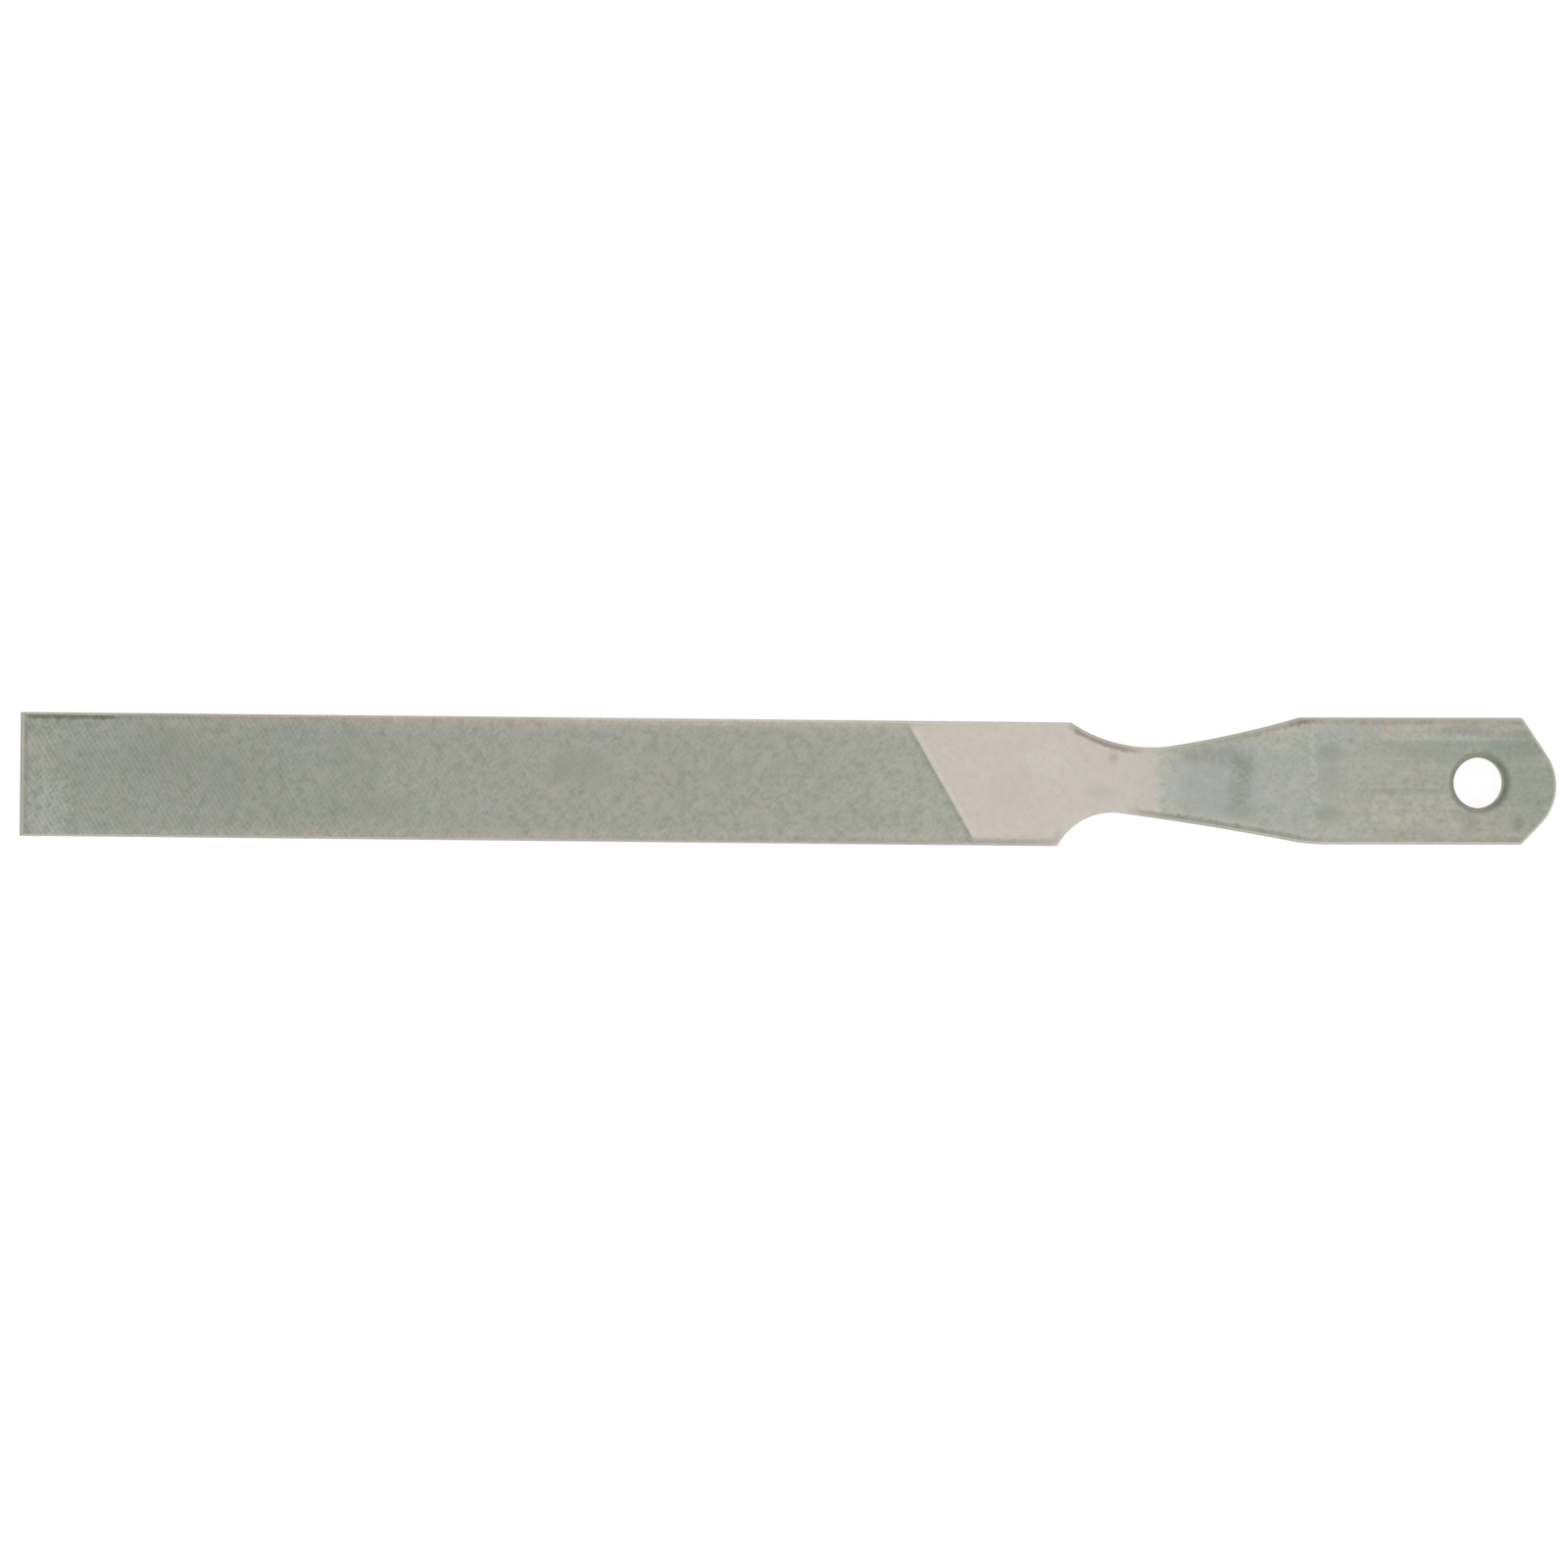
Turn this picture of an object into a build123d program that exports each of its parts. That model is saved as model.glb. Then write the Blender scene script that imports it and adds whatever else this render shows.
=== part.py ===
from build123d import *
from math import atan2, ceil, cos, degrees, radians, sin, sqrt, tan
import os

# Flat garden file: blade, narrow neck and handle forged from one bar of steel.
# Millimetres and degrees. X runs from the tip to the hanging end, and Z is up.
# The origin lies under the middle of the file, on the surface that it rests on.

# Bar and blade
overall_length = 248.0
thickness = 4.0
blade_width = 20.0
edge_break = 0.4             # flat along every long edge
tip_bevel = 0.7              # wider flat across the tip
shoulder_radius = 0.5        # where the blade's sides turn into the notches

# Handle: a little wider than the blade, higher than its centre line and askew
handle_width = 20.5
handle_lift = 0.93           # handle's centre line above the blade's, at the upper flare's end
handle_tilt = 0.48
upper_flare_setback = 41.35  # nose to the upper flare's end
lower_flare_setback = 39.75  # nose to the lower flare's end
upper_flare_radius = 2.0     # softens the upper corner
lower_flare_radius = 30.0    # softens the lower corner

# Nose: two slanted cuts that meet in a round, off the centre line
nose_cut_setback = 5.6       # nose to where both cuts start
nose_overshoot = 2.46        # how far past the nose the two cuts would meet
nose_drop = 0.45             # their meeting point below the blade's centre line
nose_corner_radius = 0.6

# Neck: an upper and a lower notch of unlike depth and radius
upper_waist_setback = 65.6   # nose to the upper notch's deepest point
upper_notch_depth = 3.9
upper_notch_radius = 23.0
upper_flare_start = 9.4      # slope at which the upper notch turns into its flare
lower_waist_setback = 71.5
lower_notch_depth = 5.5
lower_notch_radius = 10.0
lower_flare_start = 7.0

# Hanging hole
hole_radius = 4.1
hole_chamfer = 0.6
hole_setback = 12.45         # nose to the hole's centre
hole_lift = 0.9              # hole's centre above the blade's centre line

# Teeth: slanted cuts across both faces, with their steep side towards the tip
heel_setback = 99.2          # nose to the last tooth, on the blade's centre line
tooth_angle = 60.0           # between a tooth and the blade's length
tooth_pitch = 0.75           # square to the teeth
tooth_depth = 0.25
tooth_front = 0.05           # how far the steep side leans
tooth_crest = 0.02           # height above the face at which cuts meet, so a thin flat is left

# Ground band from the heel to the neck, and the wheel's run-out that ends it
grind_depth = 0.1
grind_setback = 65.4         # nose to where the wheel starts to lift
wheel_radius = 85.0

nose_x = overall_length / 2
tip_x = -nose_x
half_blade = blade_width / 2
tilt_slope = tan(radians(handle_tilt))


def handle_edge(setback, side):
    """Height of a handle edge above the blade's centre line, side 1 upper and -1 lower."""
    middle = handle_lift + (upper_flare_setback - setback) * tilt_slope
    return middle + side * handle_width / 2


# The blade's centre line lies below the middle of the whole outline
nose_top = handle_edge(nose_cut_setback, 1)
nose_bottom = handle_edge(nose_cut_setback, -1)
outline_bottom = min(-half_blade, handle_edge(lower_flare_setback, -1))
axis_y = -(nose_top + outline_bottom) / 2


def place(setback, height):
    """Point of the outline from its distance to the nose and to the blade's centre line."""
    return (nose_x - setback, axis_y + height)


def notch_turn(depth, radius):
    """Angle that a notch turns through from its shoulder to its deepest point."""
    return degrees(atan2(sqrt(depth * (2 * radius - depth)), radius - depth))


def corner(sketch, point):
    return sketch.vertices().sort_by_distance(point)[0]


# The nose's round just reaches the overall length
apex = place(-nose_overshoot, -nose_drop)
cut_run = nose_cut_setback + nose_overshoot
upper_cut = atan2(cut_run, nose_top + nose_drop)
lower_cut = atan2(cut_run, -nose_bottom - nose_drop)
nose_radius = nose_overshoot / (cos((lower_cut - upper_cut) / 2) / cos((lower_cut + upper_cut) / 2) - 1)

upper_turn = notch_turn(upper_notch_depth, upper_notch_radius)
lower_turn = notch_turn(lower_notch_depth, lower_notch_radius)
upper_center = place(upper_waist_setback, half_blade - upper_notch_depth + upper_notch_radius)
lower_center = place(lower_waist_setback, lower_notch_depth - half_blade - lower_notch_radius)
upper_flare_end = place(upper_flare_setback, handle_edge(upper_flare_setback, 1))
lower_flare_end = place(lower_flare_setback, handle_edge(lower_flare_setback, -1))
upper_nose_corner = place(nose_cut_setback, nose_top)
lower_nose_corner = place(nose_cut_setback, nose_bottom)
upper_tip = (tip_x, axis_y + half_blade)
lower_tip = (tip_x, axis_y - half_blade)
hole_center = place(hole_setback, hole_lift)

with BuildPart() as garden_file:
    with BuildSketch() as profile:
        with BuildLine():
            upper_notch = CenterArc(
                upper_center, upper_notch_radius, 270 - upper_turn, upper_turn + upper_flare_start
            )
            TangentArc(upper_notch @ 1, upper_flare_end, tangent=upper_notch % 1)
            lower_notch = CenterArc(
                lower_center, lower_notch_radius, 90 + lower_turn, -lower_turn - lower_flare_start
            )
            TangentArc(lower_notch @ 1, lower_flare_end, tangent=lower_notch % 1)
            Polyline(upper_flare_end, upper_nose_corner, apex, lower_nose_corner, lower_flare_end)
            Polyline(upper_notch @ 0, upper_tip, lower_tip, lower_notch @ 0)
        make_face()
        fillet(corner(profile, apex), nose_radius)
        fillet([corner(profile, p) for p in (upper_nose_corner, lower_nose_corner)], nose_corner_radius)
        fillet(corner(profile, upper_flare_end), upper_flare_radius)
        fillet(corner(profile, lower_flare_end), lower_flare_radius)
        fillet([corner(profile, notch @ 0) for notch in (upper_notch, lower_notch)], shoulder_radius)
    extrude(amount=thickness)

    tip_edges = garden_file.edges().filter_by(Axis.Y).group_by(Axis.X)[0]
    chamfer(tip_edges, tip_bevel)
    face_edges = garden_file.faces().filter_by(Plane.XY).edges()
    chamfer(face_edges.sort_by(Axis.X)[len(tip_edges):], edge_break)

    with Locations(hole_center):
        Hole(hole_radius)
    hole_wall = garden_file.faces().filter_by(GeomType.CYLINDER).sort_by_distance(hole_center)[0]
    chamfer(hole_wall.edges().filter_by(GeomType.CIRCLE), hole_chamfer)

# One face's cuts, made at the top face and turned over for the bottom face
turn = radians(tooth_angle)
along_teeth = Vector(cos(turn), -sin(turn), 0)
across_teeth = Vector(sin(turn), cos(turn), 0)
middle_plane = Plane.XZ.offset(-axis_y)
heel_x = nose_x - heel_setback
step_x = tooth_pitch / sin(turn)
front_x = tooth_front / sin(turn)

# The saw profile runs from the heel past the far corner of the tip
saw_length = heel_x - tip_x + half_blade / tan(turn)
saw = [(heel_x, thickness + tooth_crest)]
for tooth in range(ceil(saw_length / step_x)):
    saw.append((heel_x - tooth * step_x - front_x, thickness - tooth_depth))
    saw.append((heel_x - (tooth + 1) * step_x, thickness + tooth_crest))
saw.append((saw[-1][0], thickness + tooth_depth))
saw.append((heel_x, thickness + tooth_depth))

with BuildPart() as tooth_cuts:
    with BuildSketch(middle_plane):
        with BuildLine():
            Polyline(*saw, close=True)
        make_face()
    extrude(amount=blade_width / sin(turn), dir=along_teeth, both=True)

# The wheel leaves the neck on a curve that rises to the handle's level
run_out = sqrt(grind_depth * (2 * wheel_radius - grind_depth))
wheel_start = (nose_x - grind_setback, thickness - grind_depth)
wheel_end = (nose_x - grind_setback + run_out, thickness)
ground_start_x = heel_x - blade_width

with BuildPart() as grind_cut:
    with BuildSketch(middle_plane):
        with BuildLine():
            RadiusArc(wheel_start, wheel_end, -wheel_radius)
            Polyline(
                wheel_end,
                (wheel_end[0], thickness + grind_depth),
                (ground_start_x, thickness + grind_depth),
                (ground_start_x, thickness - grind_depth),
                wheel_start,
            )
        make_face()
    extrude(amount=blade_width, both=True)
    split(bisect_by=Plane((heel_x, axis_y, 0), x_dir=along_teeth, z_dir=across_teeth), keep=Keep.TOP)

blade_axis = Axis((0, axis_y, thickness / 2), (1, 0, 0))
with garden_file:
    for cut in (grind_cut.part, tooth_cuts.part):
        add(cut, mode=Mode.SUBTRACT)
        add(cut.rotate(blade_axis, 180), mode=Mode.SUBTRACT)

os.makedirs("parts", exist_ok=True)
garden_file.part.label = "garden_file"
export_step(garden_file.part, "parts/garden_file.step")
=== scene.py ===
import math
import random

import bmesh
import bpy
from mathutils import Matrix, Vector, noise


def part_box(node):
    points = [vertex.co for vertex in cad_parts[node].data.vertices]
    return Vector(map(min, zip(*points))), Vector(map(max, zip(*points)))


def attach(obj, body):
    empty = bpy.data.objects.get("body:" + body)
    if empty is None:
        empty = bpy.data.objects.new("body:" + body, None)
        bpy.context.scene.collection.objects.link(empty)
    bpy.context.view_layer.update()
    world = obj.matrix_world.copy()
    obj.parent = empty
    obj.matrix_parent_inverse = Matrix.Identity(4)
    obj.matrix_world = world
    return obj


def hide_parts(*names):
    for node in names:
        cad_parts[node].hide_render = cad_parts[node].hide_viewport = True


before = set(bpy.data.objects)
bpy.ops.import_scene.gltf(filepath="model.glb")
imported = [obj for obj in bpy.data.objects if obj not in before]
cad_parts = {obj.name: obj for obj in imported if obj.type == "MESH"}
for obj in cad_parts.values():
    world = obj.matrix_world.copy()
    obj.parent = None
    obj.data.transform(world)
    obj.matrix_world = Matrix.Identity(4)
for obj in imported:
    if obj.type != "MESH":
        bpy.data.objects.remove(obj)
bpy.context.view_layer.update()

# A flat garden file, lying on one of its broad faces. Its mesh is modelled in millimetres,
# X from the tip to the hanging end, and is brought to metres when it is finished.
lowCorner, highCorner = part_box("garden_file")
perMetre = 1000.0
noseX = highCorner.x * perMetre
tipX = lowCorner.x * perMetre
topZ = highCorner.z * perMetre
middleZ = topZ / 2

# Material slots of the file's mesh
skinSlot = 0
cutSlot = 1
edgeSlot = 2

# The bar: outline, edges and hanging hole, in mm and degrees
bar = {
    "bladeWidth": 20.0,
    "bladeAxisY": -0.74,
    "tipBevel": 0.7,
    "edgeBreak": 0.4,
    "shoulderRound": 0.5,
    "handleWidth": 20.5,
    "handleLift": 0.93,       # handle's centre line above the blade's, at the upper flare's end
    "handleTilt": 0.48,
    "upperFlareEnd": 41.35,   # all places along the file are lengths from its nose
    "lowerFlareEnd": 39.75,
    "upperFlareRound": 2.0,
    "lowerFlareRound": 30.0,
    "noseCut": 5.6,           # where both slanted cuts of the nose start
    "noseOvershoot": 2.46,    # how far past the nose they would meet
    "noseDrop": 0.45,         # their meeting point below the blade's centre line
    "noseRound": 8.906,       # the radius that just reaches the nose
    "noseCornerRound": 0.6,
    "upperWaist": 65.6,       # the notch's deepest point
    "upperDepth": 3.9,
    "upperRadius": 23.0,
    "upperLeave": 9.4,        # slope at which the notch turns into its flare
    "lowerWaist": 71.5,
    "lowerDepth": 5.5,
    "lowerRadius": 10.0,
    "lowerLeave": 7.0,
    "holeRadius": 4.1,
    "holeRim": 0.6,
    "holeFromNose": 12.45,
    "holeLift": 0.9,
    "holeMargin": 0.1,        # an edge this near the hole is the hole's own
    "notchSteps": 40,
    "flareSteps": 16,
    "noseSteps": 32,
    "holeSteps": 40,
    "cornerSteps": 6,
    "longCornerSteps": 8,
    "breakSegments": 3,
    "smoothBelow": 12.0,      # edges that turn more than this stay crisp
}


def heightAbove(fromNose, side):
    # a handle edge's height above the blade's centre line
    slope = math.tan(math.radians(bar["handleTilt"]))
    middle = bar["handleLift"] + (bar["upperFlareEnd"] - fromNose) * slope
    return middle + side * bar["handleWidth"] / 2


def spot(fromNose, height):
    # a point of the outline from its distances to the nose and to the blade's centre line
    return Vector((noseX - fromNose, bar["bladeAxisY"] + height, 0.0))


def holeCenter():
    return spot(bar["holeFromNose"], bar["holeLift"])


def lineTo(bm, vert, point):
    made = bmesh.ops.extrude_vert_indiv(bm, verts=[vert])["verts"][0]
    bmesh.ops.translate(bm, verts=[made], vec=point - made.co)
    return made


def arcTo(bm, vert, center, turn, steps):
    made = bmesh.ops.spin(
        bm, geom=[vert], cent=center, axis=(0, 0, 1), dvec=(0, 0, 0), angle=turn, steps=steps
    )
    return next(item for item in made["geom_last"] if isinstance(item, bmesh.types.BMVert))


def turnTo(bm, vert, corner, onward, radius, steps):
    # a line from vert towards a corner, and a true arc round it towards the point onward
    back = (vert.co - corner).normalized()
    ahead = (onward - corner).normalized()
    half = back.angle(ahead) / 2
    center = corner + (back + ahead).normalized() * radius / math.sin(half)
    side = math.copysign(1, back.cross(ahead).z)
    vert = lineTo(bm, vert, corner + back * radius / math.tan(half))
    return arcTo(bm, vert, center, -side * (math.pi - 2 * half), steps)


def neckSide(name, side):
    # one side of the neck: a notch's arc from the shoulder, and the flare's arc that it leads into
    halfBlade = bar["bladeWidth"] / 2
    radius = bar[name + "Radius"]
    depth = bar[name + "Depth"]
    turn = math.acos((radius - depth) / radius)
    leave = math.radians(bar[name + "Leave"])
    center = spot(bar[name + "Waist"], side * (halfBlade - depth + radius))
    shoulder = center + radius * Vector((-math.sin(turn), -side * math.cos(turn), 0.0))
    flareStart = center + radius * Vector((math.sin(leave), -side * math.cos(leave), 0.0))
    flareEnd = spot(bar[name + "FlareEnd"], heightAbove(bar[name + "FlareEnd"], side))
    chord = flareEnd - flareStart
    bend = math.atan2(chord.y, chord.x) - side * leave
    outward = Vector((-math.sin(side * leave), math.cos(side * leave), 0.0))
    return {
        "radius": radius,
        "center": center,
        "shoulder": shoulder,
        "turn": side * (turn + leave),
        "flareStart": flareStart,
        "flareCenter": flareStart + outward * chord.length / (2 * math.sin(bend)),
        "flareTurn": 2 * bend,
        "flareEnd": flareEnd,
    }


def roundCorner(bm, place, radius, steps):
    # rounds the outline's corner at place
    corner = min(bm.verts, key=lambda vert: (vert.co - place).length)
    first, second = [edge.other_vert(corner).co - corner.co for edge in corner.link_edges]
    reach = radius / math.tan(first.angle(second) / 2)
    bmesh.ops.bevel(
        bm, geom=[corner], offset=reach, offset_type="OFFSET", affect="VERTICES",
        segments=steps, profile=0.5, material=-1, clamp_overlap=False,
    )


def drawOutline(bm):
    # the file's outline as one flat face
    halfBlade = bar["bladeWidth"] / 2
    upperTip = spot(noseX - tipX, halfBlade)
    lowerTip = spot(noseX - tipX, -halfBlade)
    upperNose, lowerNose = [spot(bar["noseCut"], heightAbove(bar["noseCut"], side)) for side in (1, -1)]
    apex = spot(-bar["noseOvershoot"], -bar["noseDrop"])
    upper = neckSide("upper", 1)
    lower = neckSide("lower", -1)
    tipVert = bm.verts.new(upperTip)
    ends = []
    sides = ((upper, tipVert, upperNose), (lower, lineTo(bm, tipVert, lowerTip), lowerNose))
    for neck, start, noseCorner in sides:
        vert = lineTo(bm, start, neck["shoulder"])
        vert = arcTo(bm, vert, neck["center"], neck["turn"], bar["notchSteps"])
        vert = arcTo(bm, vert, neck["flareCenter"], neck["flareTurn"], bar["flareSteps"])
        ends.append(lineTo(bm, vert, noseCorner))
    nose = turnTo(bm, ends[0], apex, lowerNose, bar["noseRound"], bar["noseSteps"])
    bmesh.ops.contextual_create(bm, geom=[nose, ends[1]])
    bmesh.ops.contextual_create(bm, geom=bm.edges[:])

    for corner in (upperNose, lowerNose):
        roundCorner(bm, corner, bar["noseCornerRound"], bar["cornerSteps"])
    for neck in (upper, lower):
        roundCorner(bm, neck["shoulder"], bar["shoulderRound"], bar["cornerSteps"])
    roundCorner(bm, upper["flareEnd"], bar["upperFlareRound"], bar["cornerSteps"])
    roundCorner(bm, lower["flareEnd"], bar["lowerFlareRound"], bar["longCornerSteps"])


def cutAlong(bm, parts, point, normal):
    # cuts faces or edges with an upright plane; gives what they became, and the points on the plane
    verts = {vert for part in parts for vert in part.verts}
    edges = {edge for part in parts for edge in getattr(part, "edges", ())}
    made = bmesh.ops.bisect_plane(
        bm, geom=[*verts, *edges, *parts], dist=1e-4, plane_co=point, plane_no=normal
    )
    kind = type(parts[0])
    became = [item for item in made["geom"] if isinstance(item, kind)]
    onPlane = [item for item in made["geom_cut"] if isinstance(item, bmesh.types.BMVert)]
    return became, onPlane


def openHole(bm):
    # the outline is halved through the hole, and each half gives up half a disc
    center = holeCenter()
    radius = Vector((bar["holeRadius"], 0.0, 0.0))
    halves, _ = cutAlong(bm, bm.faces[:], center, (0, 1, 0))
    seam = [edge for edge in halves[0].edges if edge in halves[1].edges]
    seam, (left,) = cutAlong(bm, seam, center - radius, (1, 0, 0))
    seam, (right,) = cutAlong(bm, seam, center + radius, (1, 0, 0))
    for half in halves:
        side = 1 if half.calc_center_bounds().y > center.y else -1
        last = arcTo(bm, left, center, -side * math.pi, bar["holeSteps"])
        bmesh.ops.pointmerge(bm, verts=[last, right], merge_co=right.co)
        right = min(bm.verts, key=lambda vert: (vert.co - center - radius).length)
        bmesh.utils.face_split_edgenet(half, [edge for edge in bm.edges if edge.is_wire])
    discs = [face for face in bm.faces if (face.calc_center_median() - center).length < radius.x]
    bmesh.ops.delete(bm, geom=discs, context="FACES")


def bevelEdges(bm, edges, width, segments):
    made = bmesh.ops.bevel(
        bm, geom=edges, offset=width, offset_type="OFFSET", affect="EDGES",
        segments=segments, profile=0.5, material=-1, clamp_overlap=False,
    )
    for face in made["faces"]:
        face.material_index = edgeSlot


def edgesWhere(bm, belongs):
    # level edges between a broad face and a side, where their middle belongs
    found = []
    for edge in bm.edges:
        slots = {face.material_index for face in edge.link_faces}
        heights = {vert.co.z for vert in edge.verts}
        if len(slots) == 2 and len(heights) == 1 and belongs((edge.verts[0].co + edge.verts[1].co) / 2):
            found.append(edge)
    return found


def thickenBar(bm):
    # the flat outline becomes the bar, with its broken edges
    lifted = bmesh.ops.extrude_face_region(bm, geom=bm.faces[:])["geom"]
    lifted = [item for item in lifted if isinstance(item, bmesh.types.BMVert)]
    bmesh.ops.translate(bm, verts=lifted, vec=(0, 0, topZ))
    bmesh.ops.recalc_face_normals(bm, faces=bm.faces[:])
    for face in bm.faces:
        if abs(face.normal.z) < 0.5:
            face.material_index = edgeSlot
    hole = holeCenter().xy
    holeReach = bar["holeRadius"] + bar["holeMargin"]
    tipEnd = tipX + bar["tipBevel"] / 2
    atTip = edgesWhere(bm, lambda middle: middle.x < tipEnd)
    bevelEdges(bm, atTip, bar["tipBevel"], 1)
    atHole = edgesWhere(bm, lambda middle: (middle.xy - hole).length < holeReach)
    bevelEdges(bm, atHole, bar["holeRim"], 1)
    longEdges = edgesWhere(
        bm, lambda middle: middle.x > tipEnd + bar["tipBevel"]
        and (middle.xy - hole).length > holeReach + bar["holeRim"]
    )
    bevelEdges(bm, longEdges, bar["edgeBreak"], bar["breakSegments"])


def broadFaces(bm, side):
    # faces that look up (side 1) or down (side -1), with the broken edges beside them
    return [face for face in bm.faces if side * face.normal.z > 0.2]


# Teeth, in mm and degrees: the main cut is on both broad sides, the crossing cut on the upper one
teeth = {
    "heelFromNose": 99.2,     # nose to the heel, on the blade's centre line
    "angle": 60.0,            # between the teeth and the blade's length
    "pitch": 0.75,
    "depth": 0.11,
    "front": 0.26,            # how far a tooth's steep side leans
    "crossAngle": -46.0,
    "crossPitch": 0.7,
    "crossDepth": 0.07,
    "crossFront": 0.16,
    "crossBack": 0.3,
    "unevenPlace": 0.012,     # how far a crest strays
    "unevenCross": 0.05,      # how far a crossing cut strays
    "unevenDepth": 0.07,      # how much lower a point may be
    "seed": 11,
}


def heelLine(side):
    # a point of a broad side's heel line (1 upper, -1 lower), and the way square to its teeth
    angle = math.radians(teeth["angle"])
    heel = spot(teeth["heelFromNose"], 0.0)
    return heel, Vector((math.sin(angle), side * math.cos(angle), 0.0))


def beforeHeel(bm, side):
    # the faces of a broad side that lie between the heel and the tip
    heel, normal = heelLine(side)
    return [face for face in broadFaces(bm, side) if (face.calc_center_median() - heel).dot(normal) < 0]


def press(verts, side, depth):
    # takes points of one broad side down to a depth below its face
    for vert in verts:
        lowered = min(side * (vert.co.z - middleZ), middleZ - depth)
        vert.co.z = middleZ + side * lowered


# Ground shoulder and neck, and the wheel's run-out up to the forged skin
grind = {
    "depth": 0.1,
    "liftFromNose": 65.4,     # nose to where the wheel starts to lift
    "wheelRadius": 85.0,
    "steps": 5,
}


def runOut():
    # how far past its lift the wheel still touches
    return math.sqrt(grind["depth"] * (2 * grind["wheelRadius"] - grind["depth"]))


def groundDepth(x):
    # how deep the wheel has ground at x: level up to where it lifts, then out on its own curve
    past = x - (noseX - grind["liftFromNose"])
    if past <= 0:
        return grind["depth"]
    return grind["depth"] - grind["wheelRadius"] + math.sqrt(grind["wheelRadius"] ** 2 - past ** 2)


def grindNeck(bm, side):
    # lowers the plain shoulder and neck, from the heel to the wheel's run-out
    heel, normal = heelLine(side)
    faces, _ = cutAlong(bm, broadFaces(bm, side), heel, normal)
    for step in range(grind["steps"] + 1):
        x = noseX - grind["liftFromNose"] + runOut() * step / grind["steps"]
        faces, _ = cutAlong(bm, faces, Vector((x, 0, 0)), (1, 0, 0))
    verts = {vert for face in faces for vert in face.verts}
    for vert in verts:
        depth = groundDepth(vert.co.x)
        if depth > 0 and (vert.co - heel).dot(normal) > -1e-3:
            press([vert], side, depth)


def cutLines(bm, faces, heel, normal, places):
    # cuts upright lines across the faces from the heel towards the tip; gives the points on each
    lines = []
    rest = faces
    for place in places:
        point = heel + normal * place
        near = []
        far = []
        for face in rest:
            start = min((vert.co - point).dot(normal) for vert in face.verts)
            end = max((vert.co - point).dot(normal) for vert in face.verts)
            if start < 0:
                (near if end > 0 else far).append(face)
        onPlane = []
        if near:
            near, onPlane = cutAlong(bm, near, point, normal)
        lines.append(onPlane)
        rest = far + [face for face in near if (face.calc_center_median() - point).dot(normal) < 0]
    return lines


def cutTeeth(bm, side):
    # the main cut: slanted teeth with their steep side towards the tip
    rng = random.Random(teeth["seed"] + side)
    heel, normal = heelLine(side)
    faces = beforeHeel(bm, side)
    for face in faces:
        if face.material_index == skinSlot:
            face.material_index = cutSlot
    longest = max((heel - vert.co).dot(normal) for face in faces for vert in face.verts)
    crests = []
    gullets = []
    for tooth in range(math.ceil(longest / teeth["pitch"])):
        crest = -tooth * teeth["pitch"]
        if tooth:
            crest += rng.uniform(-1, 1) * teeth["unevenPlace"]
        crests.append(crest)
        gullets.append(-tooth * teeth["pitch"] - teeth["front"])
    places = sorted(crests + gullets, reverse=True)
    for place, line in zip(places, cutLines(bm, faces, heel, normal, places)):
        if place in gullets:
            press(line, side, teeth["depth"])


def crossTeeth(bm, side):
    # the crossing cut notches the crests into rows of points
    rng = random.Random(teeth["seed"])
    heel, _ = heelLine(side)
    faces = beforeHeel(bm, side)
    angle = math.radians(teeth["crossAngle"])
    across = Vector((math.sin(-angle), -math.cos(angle), 0.0))
    spans = [(vert.co - heel).dot(across) for face in faces for vert in face.verts]
    places = []
    bottoms = []
    place = max(spans)
    while place > min(spans):
        bottom = place + rng.uniform(-1, 1) * teeth["unevenCross"]
        places += [bottom + teeth["crossBack"], bottom, bottom - teeth["crossFront"]]
        bottoms.append(bottom)
        place -= teeth["crossPitch"]
    for place, line in zip(places, cutLines(bm, faces, heel, across, places)):
        if place in bottoms:
            press(line, side, teeth["crossDepth"])


def roughenTeeth(bm):
    # no two points of the teeth are quite as high
    rng = random.Random(teeth["seed"])
    faces = [face for face in bm.faces if face.material_index == cutSlot]
    verts = sorted({vert for face in faces for vert in face.verts}, key=lambda vert: tuple(vert.co))
    for vert in verts:
        side = 1 if vert.co.z > middleZ else -1
        vert.co.z -= side * rng.random() * teeth["unevenDepth"]


# Slow waves of the forged handle
forging = {
    "step": 1.5,              # width of the grid's squares
    "waveLength": 8.0,
    "depth": 0.07,
    "rise": 3.0,              # the waves grow over this length
    "seed": 4.0,
}


def forgeHandle(bm):
    # both broad sides of the handle get a fine grid, and then wave a little inwards
    start = noseX - grind["liftFromNose"] + runOut()
    step = forging["step"]
    for side in (1, -1):
        faces = [face for face in broadFaces(bm, side) if face.calc_center_median().x > start]
        for place in range(1, math.ceil((noseX - start) / step)):
            faces, _ = cutAlong(bm, faces, Vector((start + place * step, 0, 0)), (1, 0, 0))
        rows = math.ceil(bar["handleWidth"] / 2 / step)
        for row in range(-rows, rows + 1):
            faces, _ = cutAlong(bm, faces, Vector((0, row * step, 0)), (0, 1, 0))
    for vert in bm.verts:
        if vert.co.x > start:
            side = 1 if vert.co.z > middleZ else -1
            place = Vector((vert.co.x, vert.co.y, side * forging["seed"])) / forging["waveLength"]
            wave = min(max(0.5 + noise.noise(place), 0.0), 1.0)
            rise = min((vert.co.x - start) / forging["rise"], 1.0)
            vert.co.z -= side * forging["depth"] * wave * rise


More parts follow.
